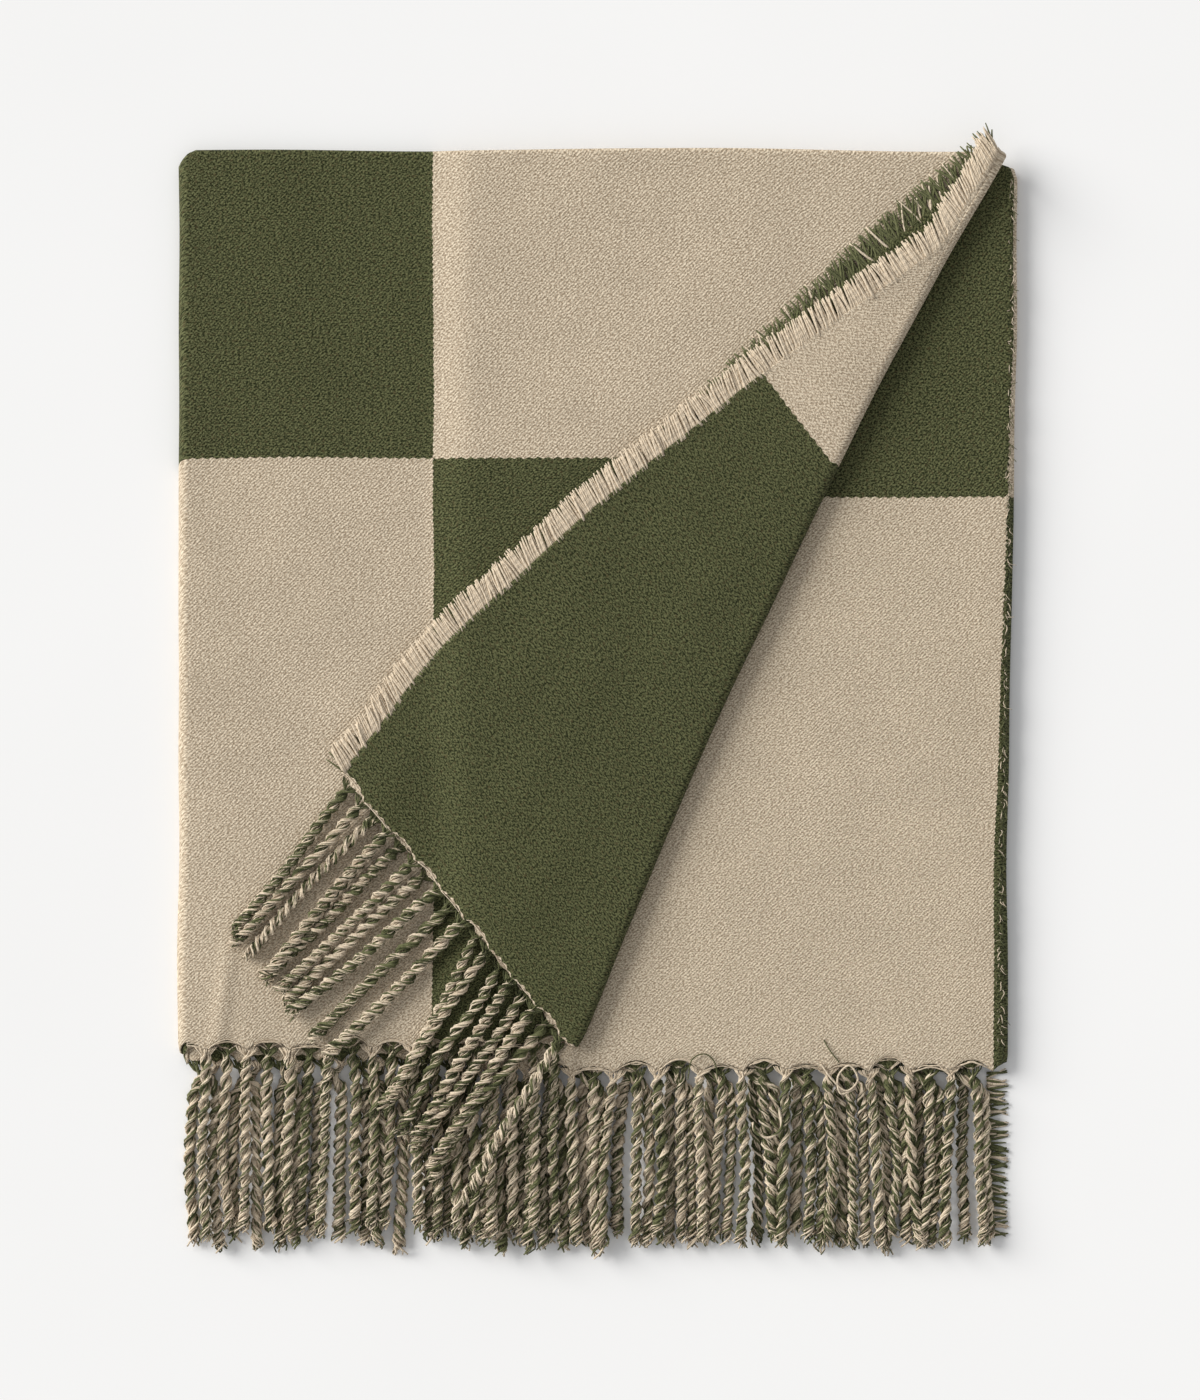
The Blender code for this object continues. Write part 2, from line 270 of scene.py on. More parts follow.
def eased(share, places, values, reach):
    """Values between a few set places, with the bends at those places smoothed."""
    steps = np.linspace(0, 1, 41)
    base = np.pad(np.interp(steps, places, values), reach, mode="edge")
    width = 2 * reach + 1
    return np.interp(share, steps, np.convolve(base, np.ones(width) / width, "valid"))


def crease_bow(share):
    """How far the slanting crease lies left of its straight line."""
    places = [0.0, 0.06, 0.27, 0.46, 0.64, 0.79, 0.85, 0.93, 1.0]
    bows = [0.0035, 0.0080, 0.0120, 0.0112, 0.0100, 0.0070, 0.0045, -0.0010, -0.0065]
    return eased(share, places, bows, 3)


def bow_warp(points):
    """Bends the front panel and the corner along the bowed crease."""
    offset = points[..., :2] - FOOT
    share = (offset @ ALONG) / CREASE_RUN
    distance = offset @ ASIDE
    amount = crease_bow(share) * np.exp(-(distance / 0.07) ** 2)
    points[..., 0] += amount * ASIDE[0]
    points[..., 1] += amount * ASIDE[1]
    return points


def leaf_rows(count):
    """Flat weave lengths from one fringe over the end fold to the other."""
    half = LENGTH / 2
    bend = math.pi * PITCH / 4
    near_fringe = np.array([0, 0.0015, 0.003, 0.0055, 0.009])
    middle = np.linspace(0.014, half - bend - 0.012, count)
    near_fold = half - bend - np.array([0.007, 0.003, 0.0])
    leaf = np.concatenate([near_fringe, middle, near_fold])
    turn = half + bend * np.linspace(-1, 1, 9)[1:-1]
    return np.concatenate([leaf, turn, LENGTH - leaf[::-1]])


def along_panel(v, top, bottom, first_row, second_row):
    """Height on the table of each woven row, and its place in the pair of leaves."""
    radius = PITCH / 2
    bend = math.pi * radius / 2
    from_fold = v - LENGTH / 2
    run = np.abs(from_fold)
    turn = np.clip(from_fold / radius, -math.pi / 2, math.pi / 2)
    ends = LEAF / 2 + radius
    row = np.where(v < LENGTH / 2, first_row, second_row)
    upper = np.clip((run - bend) / (LENGTH / 6 - bend), 0, 1)
    lower = np.clip((run - LENGTH / 6) / (LENGTH / 3), 0, 1)
    down = upper * (row - ends) + lower * (top - bottom - row)
    y = top - LEAF / 2 - radius * (1 - np.cos(turn)) - down
    pair = radius * (1 + np.sin(turn))
    return y, pair


def scallop(x, sheet, v):
    """The cloth's end dips into each tassel and arches between them."""
    (near, pitch, _), (far, _, _) = tassel_row(sheet, 0), tassel_row(sheet, -1)
    place = (x - np.where(v < LENGTH / 2, near, far)) / pitch
    number = np.floor(place)
    size = 1 + 0.35 * np.sin(2.4 * number + near * 90) + 0.15 * np.sin(5.1 * number)
    size = size * (0.45 if sheet == "corner" else 1.0)
    arch = np.abs(np.sin(math.pi * (place - number))) ** 0.7 * size
    return (0.0082 * arch - 0.0040) * np.exp(-np.minimum(v, LENGTH - v) / 0.008)


def skins(name, mid, uv, materials, thickness):
    """Closes a middle surface into a slab with an outer and an inner face."""
    across = np.gradient(mid, axis=0)
    along = np.gradient(mid, axis=1)
    normal = np.cross(across, along)
    normal /= np.maximum(np.linalg.norm(normal, axis=2, keepdims=True), 1e-12)
    columns, rows = mid.shape[:2]
    half = normal * thickness[..., None] / 2
    points = np.concatenate([(mid + half).reshape(-1, 3), (mid - half).reshape(-1, 3)])
    index = np.arange(columns * rows).reshape(columns, rows)
    a, b = index[:-1, :-1].ravel(), index[1:, :-1].ravel()
    c, d = index[1:, 1:].ravel(), index[:-1, 1:].ravel()
    other = columns * rows
    outer = np.stack([a, b, c, d], 1)
    inner = np.stack([a, d, c, b], 1) + other
    ring = np.concatenate([index[:-1, 0], index[-1, :-1],
                           index[:0:-1, -1], index[0, :0:-1]])
    after = np.roll(ring, -1)
    rim = np.stack([ring, ring + other, after + other, after], 1)
    quads = np.concatenate([outer, inner, rim])
    slots = np.concatenate([np.zeros(len(outer)), np.ones(len(inner)),
                            np.zeros(len(rim))])
    flat = uv.reshape(-1, 2)
    woven = np.concatenate([flat, flat])[quads.ravel()]
    obj = quad_mesh(name, points, quads, uv=woven, slots=slots)
    for material in materials:
        obj.data.materials.append(material)
    return obj


def edge_thickness(columns, v):
    """Full thickness, thinning to the fringe."""
    near = np.minimum(v, LENGTH - v)
    thin = 0.45 + 0.55 * smooth_step(near, 0.0, 0.008)
    return LEAF * np.repeat(thin[None, :], columns, 0)


def front_drop(x):
    """How far the front panel sinks where no inner panel lies under it."""
    return -2 * PITCH * (1 - smooth_step(x, STEP_START, STEP_END))


def open_edge_x(y):
    """The front panel's woven edge before its corner is turned back."""
    share = (y - FRONT_BOTTOM) / (FRONT_TOP - FRONT_BOTTOM)
    return FOOT[0] + OPEN_RUN + share * (TIP_X - FOOT[0] - OPEN_RUN)


def crease_x(y):
    """Where the straight crease crosses height y on the table."""
    return FOOT[0] + (y - FOOT[1]) * ALONG[0] / ALONG[1]


def front_u(x, y):
    """Weave coordinate across the front panel, from its woven edge."""
    boundary = LEFT + FRONT_BLOCK
    right = BLOCK * (1 - (x - boundary) / (open_edge_x(y) - boundary))
    return np.where(x < boundary, BLOCK + boundary - x, right)


def right_boundary(y):
    """How far in from the right side the last colour block starts."""
    return 0.0030 + 0.0062 * smooth_step(y, BACK_TOP, BACK_BOTTOM)


def right_u(y):
    """Weave coordinate over the right side fold's axis, on its upper side."""
    boundary = RIGHT - right_boundary(y)
    return 3 * BLOCK + (boundary - RIGHT_AXIS) / (boundary - INNER_EDGE) * BLOCK


def build_back(v):
    """The back panel: both leaves, between the two side folds."""
    x = np.linspace(RIGHT_AXIS, LEFT_AXIS, COLUMNS["back"])[:, None] + 0 * v
    across = (x - LEFT_AXIS) / (RIGHT_AXIS - LEFT_AXIS)
    row = FRONT_ROW + across * (INNER_ROW - FRONT_ROW)
    y, pair = along_panel(v, BACK_TOP, BACK_BOTTOM, row, row)
    y = y + scallop(x, "back", v)
    z = LEAF / 2 + pair + 0 * x
    u_left = BLOCK + FRONT_BLOCK - (LEFT_AXIS - LEFT) + math.pi * PITCH
    u_right = right_u(y) - 1.3 * math.pi * PITCH
    u = u_left + across * (u_right - u_left)
    mid = lie(np.stack([x, y, z], 2), 0.15)
    mid = round_corner(mid, LEFT, FRONT_TOP, LEFT_ROUND)
    mid = round_corner(mid, RIGHT, BACK_TOP, RIGHT_ROUND)
    return {"mid": mid, "uv": np.stack([u, v + 0 * x], 2), "x": x, "flat": slice(None)}


def build_inner(v):
    """The inner panel and the right side fold that leads to it."""
    flat = np.linspace(INNER_EDGE, RIGHT_AXIS, COLUMNS["inner"])[:, None] + 0 * v
    turns = np.linspace(math.pi / 2, -math.pi / 2, 21)[1:, None]
    y, pair = along_panel(v, BACK_TOP, BACK_BOTTOM - INNER_SLIP, INNER_ROW, INNER_ROW)
    radius = SIDE_RADIUS - LEAF / 2 - pair
    ridge = 0.0009 * np.cos(5 * turns) * np.cos(turns)
    lean = 0.0016 * (1 - np.sin(turns)) * smooth_step(y, BACK_BOTTOM + 0.3035, BACK_BOTTOM)
    x = np.concatenate([flat, RIGHT_AXIS + (radius + ridge) * np.cos(turns) + lean])
    z = SIDE_RADIUS + np.concatenate([radius + 0 * flat, radius * np.sin(turns)])
    rows = y + scallop(x, "inner", v)
    boundary = RIGHT - right_boundary(rows)
    u = 3 * BLOCK + (boundary - x) / (boundary - INNER_EDGE) * BLOCK
    past = np.concatenate([0 * flat, (math.pi / 2 - turns) * PITCH + 0 * v])
    u = np.where(past > 0, right_u(rows) - past * 1.3, u)
    mid = lie(np.stack([x, rows, z], 2), 0.5)
    mid = round_corner(mid, RIGHT, BACK_TOP, RIGHT_ROUND)
    uv = np.stack([u, v + 0 * x], 2)
    return {"mid": mid, "uv": uv, "x": x, "flat": slice(0, len(flat))}


def build_front(v):
    """The left side fold and the front panel, as far as the crease."""
    turns = np.linspace(-math.pi / 2, math.pi / 2, 19)[:-1, None]
    share = np.linspace(0, 1, COLUMNS["front"])[:, None]
    y, pair = along_panel(v, FRONT_TOP, FRONT_BOTTOM, FRONT_ROW, CORNER_ROW)
    radius = SIDE_RADIUS - LEAF / 2 - pair
    flat = LEFT_AXIS + share * (crease_x(y) - LEFT_AXIS)
    lean = 0.0012 * (1 - np.sin(turns))
    x = np.concatenate([LEFT_AXIS - (radius + lean) * np.cos(turns), flat])
    level = CREASE_Z - PITCH / 2 - pair + front_drop(flat)
    z = np.concatenate([SIDE_RADIUS + radius * np.sin(turns), level])
    rows = y + scallop(x, "front", v)
    slip = (FRONT_TOP - BACK_TOP) * (1 - np.sin(turns)) / 2
    rows = rows - np.concatenate([slip, 0 * share])
    past = np.concatenate([(math.pi / 2 - turns) * PITCH, 0 * share])
    u = np.where(past > 0, front_u(LEFT_AXIS, 0.0) + past, front_u(x, rows))
    z = z + wrinkle(x, rows)
    mid = bow_warp(lie(np.stack([x, rows, z], 2), FRONT_SHARE))
    mid = round_corner(mid, LEFT, FRONT_TOP, LEFT_ROUND)
    uv = np.stack([u, v + 0 * x], 2)
    return {"mid": mid, "uv": uv, "x": x, "flat": slice(len(turns), None)}


def wrinkle(x, y):
    """A soft slanting wrinkle near the front panel's lower left."""
    start = np.array([LEFT + 0.037, FRONT_BOTTOM + 0.0735])
    end = np.array([LEFT + 0.027, FRONT_BOTTOM - 0.0015])
    line = (end - start) / np.linalg.norm(end - start)
    from_x, from_y = x - start[0], y - start[1]
    off = from_x * -line[1] + from_y * line[0]
    on = from_x * line[0] + from_y * line[1]
    shape = np.exp(-(off / 0.006) ** 2) * smooth_step(on, -0.05, 0.03)
    fades = smooth_step(y, FRONT_BOTTOM + 0.1435, FRONT_BOTTOM + 0.0435)
    return 0.0016 * shape * fades * (x > LEFT_AXIS)


def corner_edge_shift(share):
    """How far the upper leaf's woven edge lies outside the lower one's."""
    places = [0.0, 0.17, 0.41, 0.62, 0.76, 0.88, 0.95, 1.0]
    shifts = [0.003, 0.018, 0.013, -0.001, -0.014, -0.024, -0.023, -0.010]
    return eased(share, places, shifts, 2)


def turned_back(y, right, radius):
    """Rolls points over the crease, where row y meets it, onto the front panel."""
    turn = np.clip(right / radius, 0, math.pi)
    beyond = np.maximum(right - math.pi * radius, 0)
    aside = beyond - radius * np.sin(turn)
    along = (y - FOOT[1]) / ALONG[1] + beyond * ALONG[0] / ALONG[1]
    height = CREASE_Z - radius * np.cos(turn)
    flat = FOOT + along[..., None] * ALONG + aside[..., None] * ASIDE
    drop = front_drop(flat[..., 0]) * smooth_step(aside, 0.0, 0.01)
    return np.concatenate([flat, (height + drop)[..., None]], -1)


def build_corner(v):
    """The slanting crease and the corner turned back over the front panel."""
    share = np.linspace(0, 1, COLUMNS["corner"])[:, None]
    steps = np.linspace(0, 1, 15)[:-1, None]
    y, pair = along_panel(v, FRONT_TOP, FRONT_BOTTOM, FRONT_ROW, CORNER_ROW)
    radius = PITCH / 2 + pair + 0 * share[:1]
    height = (y - FRONT_BOTTOM) / (FRONT_TOP - FRONT_BOTTOM)
    shift = np.where(v > LENGTH / 2, corner_edge_shift(height), 0.0)
    roll = math.pi * radius
    width = np.maximum((open_edge_x(y) - crease_x(y)) * ALONG[1] + shift, 0.003)
    right = np.concatenate([steps * roll, roll + share * width])
    x = FOOT[0] + np.concatenate([0 * steps * roll, share * width / ALONG[1]])
    mid = turned_back(y, right, radius)
    mid[..., :2] -= scallop(x, "corner", v)[..., None] * TURNED
    mid = bow_warp(lie(mid, 1.0))
    puff = 0.0012 * np.maximum(1 + waves(mid[..., 0], mid[..., 1], 9, 0.12), 0)
    mid[..., 2] += puff * np.concatenate([0 * steps, share]) ** 0.5
    u = front_u(crease_x(y), y) * (1 - right / (roll + width))
    uv = np.stack([u, v + 0 * right], 2)
    return {"mid": mid, "uv": uv, "x": x, "flat": slice(len(steps), None)}


# ---------------------------------------------------------------- yarns

def tubes(name, paths, radii, sides, values, material):
    """Round yarns along many paths of equal point count, as one mesh."""
    count, steps = paths.shape[:2]
    tangent = np.gradient(paths, axis=1)
    tangent /= np.maximum(np.linalg.norm(tangent, axis=2, keepdims=True), 1e-12)
    side = np.cross(tangent, [0.0, 0.0, 1.0])
    size = np.linalg.norm(side, axis=2, keepdims=True)
    side = np.where(size > 0.05, side / np.maximum(size, 1e-9), [1.0, 0.0, 0.0])
    lift = np.cross(side, tangent)
    turn = 2 * math.pi * np.arange(sides) / sides
    ring = side[:, :, None] * np.cos(turn)[:, None] + lift[:, :, None] * np.sin(turn)[:, None]
    points = paths[:, :, None] + ring * radii[:, :, None, None]
    index = np.arange(count * steps * sides).reshape(count, steps, sides)
    after = np.roll(index, -1, axis=2)
    quads = np.stack([index[:, :-1], index[:, 1:], after[:, 1:], after[:, :-1]], -1)
    run = np.linalg.norm(np.diff(paths, axis=1), axis=2)
    run = np.concatenate([np.zeros((count, 1)), np.cumsum(run, 1)], 1)
    near, far = run[:, :-1, None] + 0 * turn, run[:, 1:, None] + 0 * turn
    low, high = np.arange(sides) / sides + 0 * near, np.arange(1, sides + 1) / sides + 0 * near
    uv = np.stack([np.stack([near, low], -1), np.stack([far, low], -1),
                   np.stack([far, high], -1), np.stack([near, high], -1)], -2)
    faces, woven = [quads.reshape(-1, 4)], [uv.reshape(-1, 2)]
    for k in range(sides // 2 - 1):
        corners = [0, 2 * k + 1, 2 * k + 2, 2 * k + 3]
        faces.append(index[:, 0][:, corners])
        faces.append(index[:, -1][:, corners[::-1]])
        woven.append(np.zeros((8 * count, 2)))
    spread = {key: np.repeat(np.broadcast_to(value, (count, steps)), sides)
              for key, value in values.items()}
    obj = quad_mesh(name, points.reshape(-1, 3), np.concatenate(faces), spread,
                    np.concatenate(woven))
    obj.data.materials.append(material)
    return obj


def edge_points(sheet, end, places):
    """Points on a sheet's fringed end at these flat places across it."""
    flat = sheet["flat"]
    line, at = sheet["mid"][flat, end], sheet["x"][flat, end]
    order = np.argsort(at)
    return np.stack([np.interp(places, at[order], line[order, k]) for k in range(3)], 1)


def gap_lines(lines, wanted):
    """Lines down the widest gaps between tassels that lie there already."""
    middle = TASSEL_STEPS // 2
    lines = lines[np.argsort(lines[:, middle:, 0].mean(1))]
    past_left, past_right = np.array([0.0180, 0, 0]), np.array([0.0090, 0, 0])
    lines = np.concatenate([lines[:1] - past_left, lines, lines[-1:] + past_right])
    width = np.diff(lines[:, middle:, 0], axis=0).max(1)
    kept = np.sort(np.argsort(width)[-wanted:])
    return (lines[kept] + lines[kept + 1]) / 2


def tassel_lines(roots, directions, lengths, lie_z, rng, gaps):
    """Centre lines of tassels that leave the cloth and lie down, in gaps if there are any."""
    count = len(roots)
    share = np.linspace(0, 1, TASSEL_STEPS)[None, :]
    loose = 0.25 if gaps is not None else 1.0
    lean = rng.normal(0, 0.0030 * loose, count)[:, None] * share ** 1.2
    bow = rng.normal(0, 0.0017 * loose, count)[:, None] * np.sin(math.pi * share)
    ripple = rng.normal(0, 0.0008, count)[:, None] * np.sin(2.6 * math.pi * share)
    across = np.stack([-directions[:, 1], directions[:, 0]], 1)
    flat = (roots[:, None, :2] + directions[:, None] * (share * lengths[:, None])[..., None]
            + across[:, None] * (lean + bow + ripple)[..., None])
    if gaps is not None:
        settled = smooth_step(share * lengths[:, None], 0.002, 0.024)
        flat[..., 0] += (gaps[..., 0] - flat[..., 0] + lean + bow) * settled
    reach = smooth_step(share * lengths[:, None], 0.0, 0.018)
    z = roots[:, None, 2] * (1 - reach) + lie_z(flat[..., 0], flat[..., 1]) * reach
    z = z + rng.normal(0, 0.0005, count)[:, None] * np.sin(3 * math.pi * share)
    return np.concatenate([flat, z[..., None]], 2)


def fringe(name, lines, directions, lengths, yarns, opposite, root_green, rng):
    """A row of two-ply tassels of twisted yarns with frayed ends."""
    roots = lines[:, 0]
    count = len(roots)
    share = np.linspace(0, 1, TASSEL_STEPS)[None, :]
    tangent = np.gradient(lines, axis=1)
    tangent /= np.linalg.norm(tangent, axis=2, keepdims=True)
    side = np.cross(tangent, [0.0, 0.0, 1.0])
    side /= np.linalg.norm(side, axis=2, keepdims=True)
    lift = np.cross(side, tangent)

    def each(low, high):
        return rng.uniform(low, high, count)[:, None]

    def drift(size):
        return rng.normal(0, size, count)[:, None]

    lay = np.where(rng.random(count) < opposite(roots), 1.0, -1.0)[:, None]
    run = share * lengths[:, None]
    spin = lay * 2 * math.pi * run / each(*LAY_LENGTHS) + each(0, 2 * math.pi)
    spin = spin + 0.5 * np.sin(run / 0.021 + each(0, 6))
    thick = each(1.04, 1.24)
    gather = smooth_step(run, 0.0, GATHERED_BY)
    fray = smooth_step(run, lengths[:, None] - FRAYED_END, lengths[:, None])
    greenness = rng.normal(0.30, 0.12, count), rng.normal(0.60, 0.16, count)
    paths, radii, green, vary = [], [], [], []
    per_ply = yarns // 2
    for number in range(yarns):
        ply, k = divmod(number, per_ply)
        turn = spin + math.pi * ply
        around = 2 * math.pi * k / per_ply + drift(0.15) + turn + lay * run / 0.02
        centre = PLY_OFFSET * thick * gather
        away = YARN_OFFSET * thick * (0.72 + 0.28 * (k % 2)) * gather * (1 + 0.6 * fray)
        place = number / (yarns - 1) - 0.5
        fan = (place * 0.0150 + drift(0.0008)) * (1 - gather) ** 1.6
        loose = drift(0.0010) * fray
        sideways = centre * np.cos(turn) + away * np.cos(around) + fan + loose
        upward = (centre * np.sin(turn) + away * np.sin(around)) * 0.78
        upward = upward + drift(0.0005) * fray
        path = lines + side * sideways[..., None] + lift * upward[..., None]
        stretch = each(-0.007, 0.003) * share ** 8
        path[..., :2] += directions[:, None] * stretch[..., None]
        path[..., 2] = np.maximum(path[..., 2], 0.0012)
        paths.append(path)
        slim = (0.5 + 0.5 * gather) * (1 - 0.35 * fray ** 2)
        radii.append(YARN_BUNDLE / math.sqrt(yarns) * thick * each(0.85, 1.15) * slim)
        share_green = np.clip(greenness[ply][:, None] + drift(0.38), -0.1, 1.1)
        root = np.exp(-(run / 0.009) ** 2)
        green.append(share_green * (1 - root) + root_green(roots)[:, None] * root)
        vary.append(each(0, 1) + 0 * run)
    values = {"green": np.concatenate(green), "vary": np.concatenate(vary)}
    return tubes(name, np.concatenate(paths), np.concatenate(radii), 4, values, YARN)


def strands(name, starts, directions, lengths, radius, green, curl, rise, seed, steps=8):
    """Short loose yarn ends that leave an edge and curl a little."""
    rng = np.random.default_rng(seed)
    count = len(starts)
    share = np.linspace(0, 1, steps)[None, :]
    across = np.stack([-directions[:, 1], directions[:, 0]], 1)
    bend = rng.normal(0, curl, count)[:, None] * share ** 2
    bend = bend + rng.normal(0, curl * 0.4, count)[:, None] * np.sin(4.5 * share)
    lift = rng.uniform(-0.2, 1.0, count)[:, None] * rise * np.sin(math.pi * share)
    flat = (starts[:, None, :2] + directions[:, None] * (share * lengths[:, None])[..., None]
            + across[:, None] * bend[..., None])
    paths = np.concatenate([flat, (starts[:, None, 2] + lift)[..., None]], 2)
    radii = (1 - 0.5 * share ** 3) * radius * rng.uniform(0.7, 1.2, count)[:, None]
    picked = (rng.random(count) < green)[:, None]
    values = {"green": picked * 1.3 - 0.2, "vary": 0.45 + 0.4 * rng.random(count)[:, None]}
    return tubes(name, paths, radii, 4, values, YARN)


def thread(name, points, radius, green, steps=60):
    """One loose thread through a few points, lying in easy curves."""
    points = np.array(points, float)
    ends = np.concatenate([points[:1], points, points[-1:]])
    path = []
    for at in np.linspace(0, len(points) - 1.0001, steps):
        k, t = int(at), at - int(at)
        a, b, c, d = ends[k:k + 4]
        path.append(0.5 * (2 * b + (c - a) * t + (2 * a - 5 * b + 4 * c - d) * t * t
                           + (3 * b - a - 3 * c + d) * t ** 3))
    radii = np.full((1, steps), radius)
    values = {"green": np.full((1, 1), green), "vary": np.full((1, 1), 0.5)}
    return tubes(name, np.array(path)[None], radii, 6, values, YARN)


# ------------------------------------------------------------- materials

class Nodes:
    """Short ways to add and link shader nodes."""

    def __init__(self, name):
        self.material = bpy.data.materials.new(name)
        self.material.use_nodes = True
        self.tree = self.material.node_tree
        self.shader = self.tree.nodes["Principled BSDF"]

    def put(self, value, socket):
        if isinstance(value, bpy.types.NodeSocket):
            self.tree.links.new(value, socket)
        else:
            socket.default_value = value

    def add(self, kind, inputs, output=0, **settings):
        node = self.tree.nodes.new(kind)
        for key, value in settings.items():
            setattr(node, key, value)
        for key, value in inputs.items():
            self.put(value, node.inputs[key])
        return node.outputs[output]

    def math(self, operation, a, b=0.0, c=0.0):
        return self.add("ShaderNodeMath", {0: a, 1: b, 2: c}, operation=operation)

    def noise(self, vector, scale, detail=2.0, rough=0.5):
        inputs = {"Vector": vector, "Scale": scale, "Detail": detail, "Roughness": rough}
        return self.add("ShaderNodeTexNoise", inputs)

    def ramp(self, value, low, high):
        inputs = {"Value": value, "From Min": low, "From Max": high}
        return self.add("ShaderNodeMapRange", inputs, interpolation_type="SMOOTHSTEP")

    def mix(self, factor, a, b):
        node = self.tree.nodes.new("ShaderNodeMix")
        node.data_type = "RGBA"
        self.put(factor, node.inputs[0])
        self.put(a, node.inputs[6])
        self.put(b, node.inputs[7])
        return node.outputs[2]

    def scaled(self, vector, x, y, z=1.0):
        return self.add("ShaderNodeMapping", {"Vector": vector, "Scale": (x, y, z)})

    def bump(self, height, distance, strength):
        inputs = {"Height": height, "Distance": distance, "Strength": strength}
        return self.add("ShaderNodeBump", inputs)

    def surface(self, **values):
        """Sets the shader's inputs, named in lower case, and gives the material."""
        inputs = {socket.name.lower().replace(" ", "_"): socket for socket in self.shader.inputs}
        for name, value in values.items():
            self.put(value, inputs[name])
        return self.material


# Wool colours: each yarn lies between a dark and a light one, with some of a third
GREEN_DARK = (0.017, 0.021, 0.006, 1)
GREEN_LIGHT = (0.132, 0.138, 0.062, 1)
GREEN_BROWN = (0.088, 0.068, 0.030, 1)
BEIGE_DARK = (0.345, 0.268, 0.184, 1)
BEIGE_LIGHT = (0.725, 0.620, 0.470, 1)
BEIGE_PINK = (0.550, 0.425, 0.320, 1)


# The steps where two blocks meet, and half the pitch of the twill's slanting ribs
TOOTH_ACROSS = 0.0034
TOOTH_ALONG = 0.0021
TWILL_RIB = 0.00140


def cloth_material(name, flip):
    """Brushed double-faced twill in blocks with stepped edges; flip swaps the two colours."""
    n = Nodes(name)
    uv = n.add("ShaderNodeUVMap", {}, uv_map="Weave")
    split = n.tree.nodes.new("ShaderNodeSeparateXYZ")
    n.put(uv, split.inputs[0])
    u, v = split.outputs[0], split.outputs[1]
    wobble = n.math("MULTIPLY_ADD", n.noise(uv, 90, 2), 0.0014, -0.0007)
    tooth_v = n.math("PINGPONG", u, TOOTH_ACROSS)
    tooth_u = n.math("PINGPONG", v, TOOTH_ALONG)
    edge_u = n.math("ADD", n.math("MULTIPLY_ADD", tooth_u, 0.42, u), wobble)
    edge_v = n.math("ADD", n.math("MULTIPLY_ADD", tooth_v, 0.36, v), wobble)
    column = n.math("FLOOR", n.math("DIVIDE", edge_u, BLOCK))
    row = n.math("FLOOR", n.math("DIVIDE", edge_v, LENGTH / 3))
    odd = n.math("ADD", n.math("ADD", column, row), 21.0 if flip else 20.0)
    beige = n.math("MODULO", odd, 2.0)

    speck = n.noise(uv, 900, 2, 0.6)
    patch = n.noise(uv, 26, 3, 0.55)
    tint = n.noise(uv, 420, 2, 0.6)
    nap = n.noise(n.scaled(uv, 520, 820), 1.0, 2, 0.55)
    slope = n.math("ADD", u, v)
    drift = n.math("MULTIPLY_ADD", n.noise(uv, 160, 1), 0.0035, slope)
    twill = n.math("DIVIDE", n.math("PINGPONG", drift, TWILL_RIB), TWILL_RIB)

    light = n.ramp(n.math("MULTIPLY_ADD", nap, 0.55, n.math("MULTIPLY", speck, 0.45)), 0.42, 0.58)
    green = n.mix(light, GREEN_DARK, GREEN_LIGHT)
    green = n.mix(n.math("MULTIPLY", n.ramp(tint, 0.52, 0.72), 0.65), green, GREEN_BROWN)
    beiges = n.mix(light, BEIGE_DARK, BEIGE_LIGHT)
    beiges = n.mix(n.math("MULTIPLY", n.ramp(tint, 0.55, 0.75), 0.55), beiges, BEIGE_PINK)
    colour = n.mix(beige, green, beiges)
    # Painted shade: the colour darkens into the groove between the twill's slanting ribs, where their
    # bump is lowest; the patch noise then adds random patchy tone.
    shade = n.math("MULTIPLY_ADD", twill, 0.24, 0.88)
    shade = n.math("MULTIPLY", shade, n.math("MULTIPLY_ADD", patch, 0.22, 0.89))
    tone = n.add("ShaderNodeCombineXYZ", {0: shade, 1: shade, 2: shade})
    colour = n.add("ShaderNodeVectorMath", {0: colour, 1: tone}, operation="MULTIPLY")
    height = n.math("MULTIPLY_ADD", twill, 0.45, n.math("MULTIPLY", speck, 0.9))
    height = n.math("MULTIPLY_ADD", nap, 0.5, height)
    return n.surface(base_color=colour, normal=n.bump(height, 0.0011, 0.55), roughness=0.92,
                     specular_ior_level=0.12, sheen_weight=0.03, sheen_roughness=0.6)


